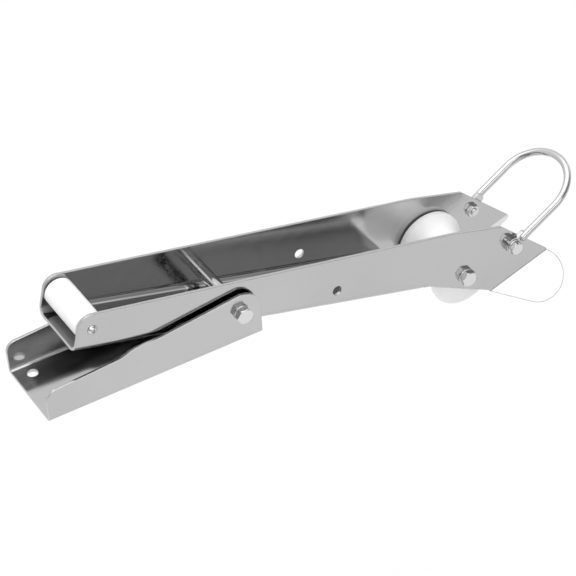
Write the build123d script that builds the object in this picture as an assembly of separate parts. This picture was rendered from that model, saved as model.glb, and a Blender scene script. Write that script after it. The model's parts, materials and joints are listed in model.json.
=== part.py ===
"""Hinged bow roller for a boat's anchor.

A fixed mounting channel carries a long roller channel on a cross bolt. The roller
channel has a small roller at its rear end, a large one between its nose cheeks,
flared ears on the cheeks and a bent-rod hoop over the nose.
Units are mm. +X runs to the nose, +Y across, +Z up. The origin is on the mounting
channel's underside, at the centre of its four deck holes.
"""
from build123d import *
import math
import os

os.makedirs("parts", exist_ok=True)

# sheet metal shared by both channels
sheet = 3.0                  # plate thickness

# mounting channel
hole_row = 150.0             # deck hole spacing along X
hole_gauge = 54.0            # deck hole spacing across Y
deck_hole_d = 11.0
rear_margin = 17.0           # deck hole centre to the rear edge
side_gap = 4.0               # air between the walls of the two channels
base_fold_r = 3.0            # inside radius of each fold
base_rear_h = 36.5           # wall height beside the rear corner
base_step_x0, base_step_z0 = -14.0, 40.6     # foot of the step in the walls' top edge
base_step_x1, base_step_z1 = 0.0, 44.8       # top of the step
base_rise_x, base_rise_z = 34.0, 46.6        # straight rise towards the lug begins
base_corner_r = 11.0
lug_r = 21.0                 # round lug about the pivot
pivot_x = 120.0
pivot_z = 35.5

# roller channel, in its own frame: x from the rear end, z up from its underside
chan_w = 76.0                # outside width
chan_fold_r = 7.0            # inside radius of each fold
pivot_u = 176.1              # pivot, along and above the underside
pivot_v = 19.3
tilt = 15.0                  # nose-down angle as modelled
rear_r = 14.0                # rounding of the walls' rear corners
wall_rear_h = 42.0           # wall height where the rounding ends
crest_x = 422.5              # highest point of the walls
crest_z = 65.4
nose_x = 486.5               # front end of the walls' top edge
nose_z = 64.4
nose_r = 5.0
tip_x = 555.5                # pointed tip of each cheek
tip_z = 28.3
heel_x = 491.5               # lower front corner of each cheek
heel_z = -13.3
floor_end = 402.5            # the floor and its folds stop here
droop_x = 410.5              # where the cheeks' lower edge turns down
droop_z = 5.0
pin_hole_d = 10.5            # securing pin through both walls
pin_hole_x = 291.5
pin_hole_z = 20.5

# flared ears
ear_bend = 34.0              # bend out of the cheek's plane
ear_bend_r = 3.0             # inside radius of that bend
ear_centre = (53.0, 17.0)    # round end, along the bend from the heel and out from it

# fasteners
m10_r, m10_af, m10_head, m10_nut = 5.0, 16.0, 6.4, 8.4
m8_r, m8_af, m8_head, m8_nut = 4.0, 13.0, 5.3, 5.0
m6_r, m6_head_d, m6_head_h = 3.0, 10.5, 3.3
m10_washer_r, m8_washer_r = 9.0, 8.0
washer_t = 1.6
axle_screw_len = 18.0
bolt_fit = 0.2               # radial clearance of clamped bolts in their holes
run_fit = 0.05               # radial clearance of turning fits
thread_fit = 0.05            # radial gap left between screws and their threads
ring_fit = 0.1               # radial clearance of spacers over sleeve and axle
face_gap = 0.1               # side clearance of faces that slide on each other
tail = 2.0                   # thread standing out of each nut

# pivot
pivot_sleeve_r = 7.0
pivot_spacer_r = 10.0

# rear roller
rear_roller_r = 15.0
rear_axle_x, rear_axle_z = 15.5, 24.5
rear_axle_r = 6.0
thrust_t = 1.0
thrust_r = 9.0
roller_side_gap = 0.5

# front roller
front_roller_r = 37.0
front_throat_r = 25.5
front_roller_w = 67.0
front_land = 5.0             # straight rim beside each end
front_rim_r = 1.5
front_axle_x, front_axle_z = 454.5, 10.5
front_sleeve_r = 7.0
front_spacer_r = 12.0

# hoop
rod_r = 4.0
hoop_axis_x, hoop_axis_z = 505.5, 41.2
hoop_lean = 46.0             # legs above the roller channel's floor line
leg_len = 59.0
eye_r = 9.0
eye_t = 4.8
rod_start = 13.0             # where the flattened eye becomes round rod

base_w = chan_w + 2 * (side_gap + sheet)
base_x0 = -hole_row / 2 - rear_margin
base_x1 = pivot_x + lug_r
inner_w = chan_w - 2 * sheet
chord_len = math.hypot(tip_x - heel_x, tip_z - heel_z)
chord = ((tip_x - heel_x) / chord_len, (tip_z - heel_z) / chord_len)
leg_y = chan_w / 2 + rod_r + 0.5

place = Location((pivot_x, 0, pivot_z)) * Rotation(0, tilt, 0) * Location((-pivot_u, 0, -pivot_v))


def across(x, z, y=0.0):
    """Location at (x, z) whose local Z points along +Y."""
    return Location((x, y, z)) * Rotation(-90, 0, 0)


def rod(r, x, z, y0, y1):
    return across(x, z, y0) * Cylinder(r, y1 - y0, align=(Align.CENTER, Align.CENTER, Align.MIN))


def ring(r_out, r_in, x, z, y0, y1):
    return rod(r_out, x, z, y0, y1) - rod(r_in, x, z, y0 - 1, y1 + 1)


def side_plate(face, y0, y1):
    """Face drawn as (x, z), thickened from y0 to y1."""
    return extrude(Location((0, y0, 0)) * Rotation(90, 0, 0) * face, amount=-(y1 - y0))


def washer(r_out, r_in, x, z, y0, y1):
    body = ring(r_out, r_in, x, z, y0, y1)
    rims = body.edges().filter_by(GeomType.CIRCLE).group_by(lambda e: round(e.radius, 3))[-1]
    return chamfer(rims, 0.25)


def hexagon(af, thick, both_ends=False):
    """Hex prism standing on z = 0 with its corners turned off."""
    r = af / math.sqrt(3)
    prism = extrude(RegularPolygon(r, 6), amount=thick)
    cut = (r - af * 0.475) * math.tan(math.radians(30))
    turned = Pos(0, 0, thick / 2) * Cylinder(r, thick)
    ends = turned.edges().filter_by(GeomType.CIRCLE).sort_by(Axis.Z)
    turned = chamfer(ends if both_ends else ends[-1:], length=cut, length2=r - af * 0.475)
    return prism & turned


def hex_bolt(r, af, head, length):
    """Head on -Z, shank along +Z from 0 to length, with a chamfered end."""
    shank = Cylinder(r, length, align=(Align.CENTER, Align.CENTER, Align.MIN))
    shank = chamfer(shank.edges().filter_by(GeomType.CIRCLE).sort_by(Axis.Z)[-1:], 0.8)
    return (Rotation(180, 0, 0) * hexagon(af, head)) + shank


def hex_nut(r, af, thick):
    bore = Cylinder(r + thread_fit, thick * 3)
    return hexagon(af, thick, both_ends=True) - bore


def button_screw(length):
    """Socket button screw: head on -Z, shank along +Z."""
    dome_r = (m6_head_h ** 2 + (m6_head_d / 2) ** 2) / (2 * m6_head_h)
    dome = Pos(0, 0, dome_r - m6_head_h) * Sphere(dome_r)
    slab = Pos(0, 0, -m6_head_h / 2) * Box(20, 20, m6_head_h)
    shank = Cylinder(m6_r, length, align=(Align.CENTER, Align.CENTER, Align.MIN))
    shank = chamfer(shank.edges().filter_by(GeomType.CIRCLE).sort_by(Axis.Z)[-1:], 0.6)
    socket = Pos(0, 0, -m6_head_h) * extrude(RegularPolygon(4.0 / math.sqrt(3), 6), amount=2.0)
    return (dome & slab) + shank - socket


def trough(x0, x1, width, height, fold_r):
    """Folded U section along X with its underside on z = 0."""
    outer = Pos((x0 + x1) / 2, 0, height / 2) * Box(x1 - x0, width, height)
    low = outer.edges().filter_by(Axis.X).group_by(Axis.Z)[0]
    outer = fillet(low, fold_r + sheet)
    inner = Pos((x0 + x1) / 2, 0, height / 2 + sheet) * Box(x1 - x0 + 2, width - 2 * sheet, height)
    low = inner.edges().filter_by(Axis.X).group_by(Axis.Z)[0]
    return outer - fillet(low, fold_r)


def base_outline():
    """Side outline of the mounting channel, with the round lug at its front."""
    r = base_corner_r
    corner = (base_x0 + r, base_rear_h)
    foot = (base_step_x0, base_step_z0)
    rise_from = (base_rise_x, base_rise_z)
    slope = math.atan2(foot[1] - corner[1], foot[0] - corner[0])
    rise = math.atan2(pivot_z + lug_r - base_rise_z, pivot_x - base_rise_x)
    top = (pivot_x - lug_r * math.sin(rise), pivot_z + lug_r * math.cos(rise))
    edges = Curve() + [
        Line((base_x0, 0), (base_x0, base_rear_h - r)),
        RadiusArc((base_x0, base_rear_h - r), corner, r),
        Line(corner, foot),
        Spline(foot, (base_step_x1, base_step_z1), rise_from,
               tangents=((math.cos(slope), math.sin(slope)), (math.cos(rise), math.sin(rise)))),
        Line(rise_from, top),
        ThreePointArc(top, (pivot_x + lug_r * math.sin(math.pi / 4),
                            pivot_z + lug_r * math.cos(math.pi / 4)), (base_x1, pivot_z)),
        Line((base_x1, pivot_z), (base_x1, 0)),
        Line((base_x1, 0), (base_x0, 0)),
    ]
    return make_face(edges)


def mounting_channel():
    body = trough(base_x0, base_x1, base_w, pivot_z + lug_r + 5, base_fold_r)
    body &= side_plate(base_outline(), -base_w, base_w)
    body -= rod(m10_r + bolt_fit, pivot_x, pivot_z, -base_w, base_w)
    for x in (-hole_row / 2, hole_row / 2):
        for y in (-hole_gauge / 2, hole_gauge / 2):
            body -= Pos(x, y, 0) * Cylinder(deck_hole_d / 2, 20)
    return body


def wall_outline():
    """Side outline of the roller channel's walls and nose cheeks, ears left off."""
    top_slope = math.atan2(crest_z - wall_rear_h, crest_x - rear_r)
    shoulder = (rear_r - rear_r * math.sin(top_slope), wall_rear_h - rear_r * (1 - math.cos(top_slope)))
    low_z = wall_rear_h - rear_r
    half = math.pi * 0.75
    mid = (rear_r + rear_r * math.cos(half), low_z + rear_r * math.sin(half))
    edges = Curve() + [
        Line((0, 0), (0, low_z)),
        ThreePointArc((0, low_z), mid, shoulder),
        Line(shoulder, (crest_x, crest_z)),
        Line((crest_x, crest_z), (nose_x, nose_z)),
        Line((nose_x, nose_z), (tip_x, tip_z)),
        Line((tip_x, tip_z), (heel_x, heel_z)),
        Line((heel_x, heel_z), (droop_x, droop_z)),
        Line((droop_x, droop_z), (floor_end, droop_z)),
        Line((floor_end, droop_z), (floor_end, 0)),
        Line((floor_end, 0), (0, 0)),
    ]
    face = make_face(edges)
    corner = face.vertices().sort_by_distance(Vector(nose_x, nose_z, 0))[:1]
    return fillet(corner, nose_r)


def ear():
    """Near cheek's ear: round-ended plate bent outwards along the tip-heel line."""
    s, h = ear_centre
    reach = math.hypot(s, h)
    end_r = math.hypot(chord_len - s, h)
    turn = math.atan2(h, s) + math.asin(end_r / reach)
    touch = math.sqrt(reach ** 2 - end_r ** 2)
    tangent = (touch * math.cos(turn), touch * math.sin(turn))
    flat = make_face(Polyline((0, 0), tangent, (s, h), (chord_len, 0), close=True))
    flat += Pos(s, h) * Circle(end_r)
    flat &= Pos(chord_len / 2, 60) * Rectangle(300, 120)
    outside = -chan_w / 2
    along = Vector(chord[0], 0, chord[1])
    frame = Plane(origin=(heel_x, outside, heel_z), x_dir=along, z_dir=(0, 1, 0))
    plate = extrude(frame * flat, amount=sheet)
    axis = Axis((heel_x, outside - ear_bend_r, heel_z), (-along.X, 0, -along.Z))
    end = Plane(origin=(heel_x, outside, heel_z), x_dir=along, z_dir=(chord[1], 0, -chord[0]))
    strip = end * (Pos(chord_len / 2, -sheet / 2) * Rectangle(chord_len, sheet))
    return plate.rotate(axis, ear_bend) + revolve(strip, axis, ear_bend)


def roller_channel():
    outline = wall_outline()
    body = trough(0, floor_end, chan_w, crest_z + 5, chan_fold_r) & side_plate(outline, -chan_w, chan_w)
    nose = outline & Pos(floor_end + 150, 0) * Rectangle(300, 300)
    near = side_plate(nose, -chan_w / 2, -chan_w / 2 + sheet) + ear()
    body = body + near + mirror(near, Plane.XZ)
    for x, z, r in ((pivot_u, pivot_v, m10_r + run_fit), (pin_hole_x, pin_hole_z, pin_hole_d / 2),
                    (rear_axle_x, rear_axle_z, m6_r + bolt_fit),
                    (front_axle_x, front_axle_z, m10_r + bolt_fit),
                    (hoop_axis_x, hoop_axis_z, m8_r + bolt_fit)):
        body -= rod(r, x, z, -chan_w, chan_w)
    return body


def through_bolt(x, z, half_w):
    """M10 across both walls: head on the -Y side, nut on the +Y side, a washer under each."""
    seat = half_w + washer_t
    bolt = across(x, z, -seat) * hex_bolt(m10_r, m10_af, m10_head, 2 * seat + m10_nut + tail)
    washers = Compound([washer(m10_washer_r, m10_r + bolt_fit, x, z, side, side + washer_t)
                        for side in (-seat, half_w)])
    nut = across(x, z, seat) * hex_nut(m10_r, m10_af, m10_nut)
    return bolt, washers, nut


def pair(body):
    return Compound([body, mirror(body, Plane.XZ)])


def front_roller():
    w, r, c = front_roller_w / 2, front_roller_r, front_rim_r
    bore = front_sleeve_r + run_fit
    k = c * (1 - math.sqrt(0.5))
    edges = Curve() + [
        Line((bore, -w), (r - c, -w)),
        ThreePointArc((r - c, -w), (r - k, -w + k), (r, -w + c)),
        Line((r, -w + c), (r, -w + c + front_land)),
        ThreePointArc((r, -w + c + front_land), (front_throat_r, 0), (r, w - c - front_land)),
        Line((r, w - c - front_land), (r, w - c)),
        ThreePointArc((r, w - c), (r - k, w - k), (r - c, w)),
        Line((r - c, w), (bore, w)),
        Line((bore, w), (bore, -w)),
    ]
    solid = revolve(make_face(edges), Axis.Y, 360)
    return Pos(front_axle_x, 0, front_axle_z) * solid


def rear_roller():
    w = inner_w / 2 - thrust_t - roller_side_gap
    body = ring(rear_roller_r, rear_axle_r + run_fit, rear_axle_x, rear_axle_z, -w, w)
    rims = body.edges().filter_by(GeomType.CIRCLE).group_by(lambda e: round(e.radius, 3))[-1]
    return chamfer(rims, 1.5)


def rear_axle():
    body = rod(rear_axle_r, rear_axle_x, rear_axle_z, -inner_w / 2, inner_w / 2)
    for y0, y1 in ((-inner_w / 2 - 1, -inner_w / 2 + 16), (inner_w / 2 - 16, inner_w / 2 + 1)):
        body -= rod(m6_r + thread_fit, rear_axle_x, rear_axle_z, y0, y1)
    return body


def hoop():
    """Bent rod with a flattened, drilled eye at each foot."""
    top = leg_len + leg_y
    path = Curve() + [
        Line((rod_start, -leg_y), (leg_len, -leg_y)),
        ThreePointArc((leg_len, -leg_y), (top, 0), (leg_len, leg_y)),
        Line((leg_len, leg_y), (rod_start, leg_y)),
    ]
    start = Plane(origin=(rod_start, -leg_y, 0), z_dir=(1, 0, 0))
    body = sweep(start * Circle(rod_r), path=path)
    y_in = chan_w / 2 + face_gap
    for side in (-1, 1):
        body += Pos(rod_start, side * leg_y, 0) * Sphere(rod_r)
        y0 = min(side * y_in, side * (y_in + eye_t))
        eye = rod(eye_r, 0, 0, y0, y0 + eye_t)
        tab = Pos(rod_start / 2 + 3, y0 + eye_t / 2, 0) * Box(rod_start + 6, eye_t, 2 * rod_r + 3)
        tab = fillet(tab.edges().filter_by(Axis.Y).group_by(Axis.X)[-1], 4.0)
        body = body + eye + tab
    body -= rod(m8_r + run_fit, 0, 0, -chan_w, chan_w)
    return Pos(hoop_axis_x, 0, hoop_axis_z) * Rotation(0, -hoop_lean, 0) * body


def hoop_fasteners():
    """One side's set: bolt and washer outside the eye, thin nut inside the cheek."""
    x, z = hoop_axis_x, hoop_axis_z
    eye_face = -chan_w / 2 - eye_t - 2 * face_gap
    seat = eye_face - washer_t
    wall_in = -chan_w / 2 + sheet
    bolt = across(x, z, seat) * hex_bolt(m8_r, m8_af, m8_head, wall_in + m8_nut + tail - seat)
    disc = washer(m8_washer_r, m8_r + bolt_fit, x, z, seat, eye_face)
    nut = across(x, z, wall_in) * hex_nut(m8_r, m8_af, m8_nut)
    return bolt, disc, nut


def pivot_parts():
    bolt, washers, nut = through_bolt(pivot_x, pivot_z, base_w / 2)
    spacer = ring(pivot_spacer_r, m10_r + bolt_fit, pivot_x, pivot_z,
                  -base_w / 2 + sheet, -chan_w / 2 - face_gap)
    return {"pivot_bolt": bolt, "pivot_washers": washers, "pivot_nut": nut,
            "pivot_gap_spacers": pair(spacer)}


def rear_roller_parts():
    x, z, side = rear_axle_x, rear_axle_z, chan_w / 2
    screw = across(x, z, -side) * button_screw(axle_screw_len)
    thrust = washer(thrust_r, rear_axle_r + ring_fit, x, z, -inner_w / 2, -inner_w / 2 + thrust_t)
    return {"rear_roller": rear_roller(), "rear_roller_axle": rear_axle(),
            "rear_axle_screws": pair(screw), "rear_thrust_washers": pair(thrust)}


def front_roller_parts():
    x, z, half = front_axle_x, front_axle_z, inner_w / 2
    bolt, washers, nut = through_bolt(x, z, chan_w / 2)
    sleeve = ring(front_sleeve_r, m10_r + bolt_fit, x, z, -half, half)
    spacer = washer(front_spacer_r, front_sleeve_r + ring_fit, x, z,
                    -half, -front_roller_w / 2 - roller_side_gap)
    return {"front_roller": front_roller(), "front_roller_sleeve": sleeve,
            "front_roller_spacers": pair(spacer), "front_roller_bolt": bolt,
            "front_roller_washers": washers, "front_roller_nut": nut}


def hoop_parts():
    bolt, disc, nut = hoop_fasteners()
    return {"hoop": hoop(), "hoop_bolts": pair(bolt), "hoop_washers": pair(disc), "hoop_nuts": pair(nut)}


def build():
    """Every node's shape, the roller channel and all it carries set at the pivot and tilted."""
    sleeve = ring(pivot_sleeve_r, m10_r + run_fit, pivot_u, pivot_v, -inner_w / 2, inner_w / 2)
    carried = {"roller_channel": roller_channel(), "pivot_sleeve": sleeve,
               **rear_roller_parts(), **front_roller_parts(), **hoop_parts()}
    parts = {"mounting_channel": mounting_channel(), **pivot_parts()}
    for name, shape in carried.items():
        parts[name] = place * shape
    return parts


for node, shape in build().items():
    export_step(shape, "parts/%s.step" % node)
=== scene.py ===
"""Hinged bow roller: polished stainless channels, white nylon rollers, bent-rod hoop."""
import json
import math
import bpy
from mathutils import Matrix, Vector


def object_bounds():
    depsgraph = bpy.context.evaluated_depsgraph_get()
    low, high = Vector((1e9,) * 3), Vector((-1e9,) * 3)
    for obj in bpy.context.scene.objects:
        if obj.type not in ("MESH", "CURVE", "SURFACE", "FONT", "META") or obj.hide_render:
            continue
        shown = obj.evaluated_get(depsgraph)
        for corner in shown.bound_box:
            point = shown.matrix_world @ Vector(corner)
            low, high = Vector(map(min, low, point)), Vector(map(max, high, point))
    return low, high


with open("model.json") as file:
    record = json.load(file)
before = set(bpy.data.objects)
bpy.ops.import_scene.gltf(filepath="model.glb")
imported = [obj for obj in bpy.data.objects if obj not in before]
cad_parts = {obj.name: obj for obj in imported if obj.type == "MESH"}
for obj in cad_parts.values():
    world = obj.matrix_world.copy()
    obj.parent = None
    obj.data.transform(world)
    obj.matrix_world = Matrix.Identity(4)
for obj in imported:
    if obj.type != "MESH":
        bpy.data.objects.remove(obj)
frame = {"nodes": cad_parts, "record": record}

cad_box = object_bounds()
lo, hi = cad_box
nodes = frame["nodes"]

# ---------------------------------------------------------------- values (metres)
CHANNEL_TILT = math.radians(15)         # the grain of the roller channel runs along its floor
STEEL_EDGE = 0.0012                     # shaded rounding of the steel's corners

FLOOR_DROP = 0.35                       # floor below the lowest point
FLOOR_SIDE = 12.0
FLOOR_GREY = 0.725

WORLD_FRONT, WORLD_BACK = 0.35, 1.1     # studio brightness on the viewer's side and behind
WORLD_TOP = 1.2                         # added overhead

AZIMUTH = math.radians(28.56)
ELEVATION = math.radians(38.65)
ROLL = math.radians(-3.97)
AIM = Vector((0.1766, -0.0374, 0.0351))
DISTANCE = 2.22
LENS, SENSOR = 141.76, 36               # mm

# ---------------------------------------------------------------- shader helpers


def new_material(name):
    mat = bpy.data.materials.new(name)
    mat.use_nodes = True
    tree = mat.node_tree
    return mat, tree, tree.nodes["Principled BSDF"]


def noise(tree, scale, detail, stretch=(1, 1, 1), turn=0.0):
    """Object-space noise, squeezed along the axes given by stretch, turned about Y."""
    coord = tree.nodes.new("ShaderNodeTexCoord")
    turner = tree.nodes.new("ShaderNodeMapping")
    turner.inputs["Rotation"].default_value = (0, turn, 0)
    squeeze = tree.nodes.new("ShaderNodeMapping")
    squeeze.inputs["Scale"].default_value = stretch
    tex = tree.nodes.new("ShaderNodeTexNoise")
    tex.inputs["Scale"].default_value = scale
    tex.inputs["Detail"].default_value = detail
    tree.links.new(coord.outputs["Object"], turner.inputs["Vector"])
    tree.links.new(turner.outputs["Vector"], squeeze.inputs["Vector"])
    tree.links.new(squeeze.outputs["Vector"], tex.inputs["Vector"])
    return tex.outputs["Fac"]


def remap(tree, source, start, end, low, high, smooth=False):
    """Value carried from start..end to low..high, clamped, with a smooth step if asked."""
    node = tree.nodes.new("ShaderNodeMapRange")
    if smooth:
        node.interpolation_type = "SMOOTHSTEP"
    for socket, value in zip(("From Min", "From Max", "To Min", "To Max"), (start, end, low, high)):
        node.inputs[socket].default_value = value
    tree.links.new(source, node.inputs["Value"])
    return node.outputs["Result"]


def spread(tree, source, low, high):
    """Noise, which mostly lies in 0.3 to 0.7, spread over low to high."""
    return remap(tree, source, 0.3, 0.7, low, high)


def grey_colour(tree, bsdf, low, high, scale):
    """Base colour: a neutral grey that wanders between two levels."""
    tint = spread(tree, noise(tree, scale, 3), low, high)
    colour = tree.nodes.new("ShaderNodeCombineColor")
    for channel in ("Red", "Green", "Blue"):
        tree.links.new(tint, colour.inputs[channel])
    tree.links.new(colour.outputs["Color"], bsdf.inputs["Base Color"])


def bump(tree, height, strength, distance):
    """Bump node fed by a height, not yet joined to anything after it."""
    node = tree.nodes.new("ShaderNodeBump")
    node.inputs["Strength"].default_value = strength
    node.inputs["Distance"].default_value = distance
    tree.links.new(height, node.inputs["Height"])
    return node

# ---------------------------------------------------------------- materials


def steel(name, grey, rough, grain_turn=0.0, grain=0.02):
    """Polished stainless: lengthwise polishing grain, smudges, sheet waviness, soft corners."""
    mat, tree, bsdf = new_material(name)
    bsdf.inputs["Metallic"].default_value = 1.0
    grey_colour(tree, bsdf, grey * 0.97, grey * 1.03, 9)
    smear = noise(tree, 30, 4, (1, 4, 4), grain_turn)
    tree.links.new(spread(tree, smear, rough * 0.8, rough * 1.25), bsdf.inputs["Roughness"])
    lines = bump(tree, noise(tree, 900, 2, (0.02, 1, 1), grain_turn), grain, 0.0004)
    waves = bump(tree, noise(tree, 14, 1), 0.05, 0.002)
    corner = tree.nodes.new("ShaderNodeBevel")
    corner.samples = 6
    corner.inputs["Radius"].default_value = STEEL_EDGE
    tree.links.new(corner.outputs["Normal"], waves.inputs["Normal"])
    tree.links.new(waves.outputs["Normal"], lines.inputs["Normal"])
    tree.links.new(lines.outputs["Normal"], bsdf.inputs["Normal"])
    return mat


def nylon(name):
    """White moulded nylon with a faint waxy mottle."""
    mat, tree, bsdf = new_material(name)
    grey_colour(tree, bsdf, 0.77, 0.81, 25)
    tree.links.new(spread(tree, noise(tree, 60, 3), 0.34, 0.44), bsdf.inputs["Roughness"])
    bsdf.inputs["Subsurface Weight"].default_value = 0.15
    bsdf.inputs["Subsurface Radius"].default_value = (0.004, 0.004, 0.0035)
    mottle = bump(tree, noise(tree, 400, 2), 0.04, 0.0003)
    tree.links.new(mottle.outputs["Normal"], bsdf.inputs["Normal"])
    return mat


finishes = {
    "channel_steel": steel("channel_steel", 0.46, 0.12, CHANNEL_TILT),
    "rod_steel": steel("rod_steel", 0.5, 0.1, grain=0.01),
    # fastener grey 0.62, above the channel's 0.46, is painted sheen: it brightens the bolt facets
    # that no lamp reaches
    "fastener_steel": steel("fastener_steel", 0.62, 0.2, grain=0.03),
    "white_nylon": nylon("white_nylon"),
}
base_finish = steel("base_steel", 0.47, 0.12)

slots = {entry["node"]: entry["material_slot"] for entry in frame["record"]["subparts"]}
for name, piece in nodes.items():
    finish = base_finish if name == "mounting_channel" else finishes[slots[name]]
    piece.data.materials.clear()
    piece.data.materials.append(finish)

# ---------------------------------------------------------------- studio


def studio_floor():
    """Large pale matt floor below the object."""
    mesh = bpy.data.meshes.new("floor")
    side, z = FLOOR_SIDE, lo.z - FLOOR_DROP
    mesh.from_pydata([(-side, -side, z), (side, -side, z), (side, side, z), (-side, side, z)], [],
                     [(0, 1, 2, 3)])
    plane = bpy.data.objects.new("floor", mesh)
    bpy.context.scene.collection.objects.link(plane)
    mat, _, bsdf = new_material("floor_white")
    bsdf.inputs["Base Color"].default_value = (FLOOR_GREY, FLOOR_GREY, FLOOR_GREY, 1)
    bsdf.inputs["Roughness"].default_value = 0.9
    bsdf.inputs["Specular IOR Level"].default_value = 0.1
    plane.data.materials.append(mat)
    return plane


def studio_world():
    """White studio: dim on the viewer's side, bright behind the object and overhead."""
    world = bpy.data.worlds.new("studio")
    world.use_nodes = True
    tree = world.node_tree
    coord = tree.nodes.new("ShaderNodeTexCoord")
    parts = tree.nodes.new("ShaderNodeSeparateXYZ")
    tree.links.new(coord.outputs["Generated"], parts.inputs["Vector"])
    around = remap(tree, parts.outputs["Y"], -0.5, 0.3, WORLD_FRONT, WORLD_BACK, smooth=True)
    overhead = remap(tree, parts.outputs["Z"], 0.7, 0.86, 0.0, WORLD_TOP, smooth=True)
    total = tree.nodes.new("ShaderNodeMath")
    tree.links.new(around, total.inputs[0])
    tree.links.new(overhead, total.inputs[1])
    background = tree.nodes["Background"]
    background.inputs["Color"].default_value = (1, 1, 1, 1)
    tree.links.new(total.outputs["Value"], background.inputs["Strength"])
    return world


def softbox(name, towards, distance, size, power):
    """Rectangular area light at a direction from the object's centre, facing it."""
    lamp = bpy.data.lights.new(name, "AREA")
    lamp.shape = "RECTANGLE"
    lamp.size, lamp.size_y = size
    lamp.energy = power
    obj = bpy.data.objects.new(name, lamp)
    way = Vector(towards).normalized()
    obj.location = (lo + hi) / 2 + way * distance
    obj.rotation_mode = "QUATERNION"
    obj.rotation_quaternion = way.to_track_quat("Z", "Y")
    bpy.context.scene.collection.objects.link(obj)


floor = studio_floor()
bpy.context.scene.world = studio_world()
softbox("front_box", (0.05, -0.9, 0.45), 2.2, (1.6, 0.9), 9)
softbox("top_box", (-0.2, 0.2, 1.0), 2.0, (2.0, 2.0), 9)
softbox("left_box", (-0.5, -0.62, 0.6), 2.0, (0.8, 0.8), 4)

# ---------------------------------------------------------------- camera
forward = Vector((math.sin(AZIMUTH) * math.cos(ELEVATION), math.cos(AZIMUTH) * math.cos(ELEVATION),
                  -math.sin(ELEVATION)))
level = Vector((math.cos(AZIMUTH), -math.sin(AZIMUTH), 0))
rise = level.cross(forward)
right = level * math.cos(ROLL) + rise * math.sin(ROLL)
up = rise * math.cos(ROLL) - level * math.sin(ROLL)
camera = bpy.data.cameras.new("camera")
camera.lens = LENS
camera.sensor_width = SENSOR
eye = bpy.data.objects.new("camera", camera)
turn = Matrix((right, up, -forward)).transposed().to_4x4()
eye.matrix_world = Matrix.Translation(AIM - forward * DISTANCE) @ turn
bpy.context.scene.collection.objects.link(eye)
bpy.context.scene.camera = eye
bpy.context.scene.view_settings.view_transform = "Standard"
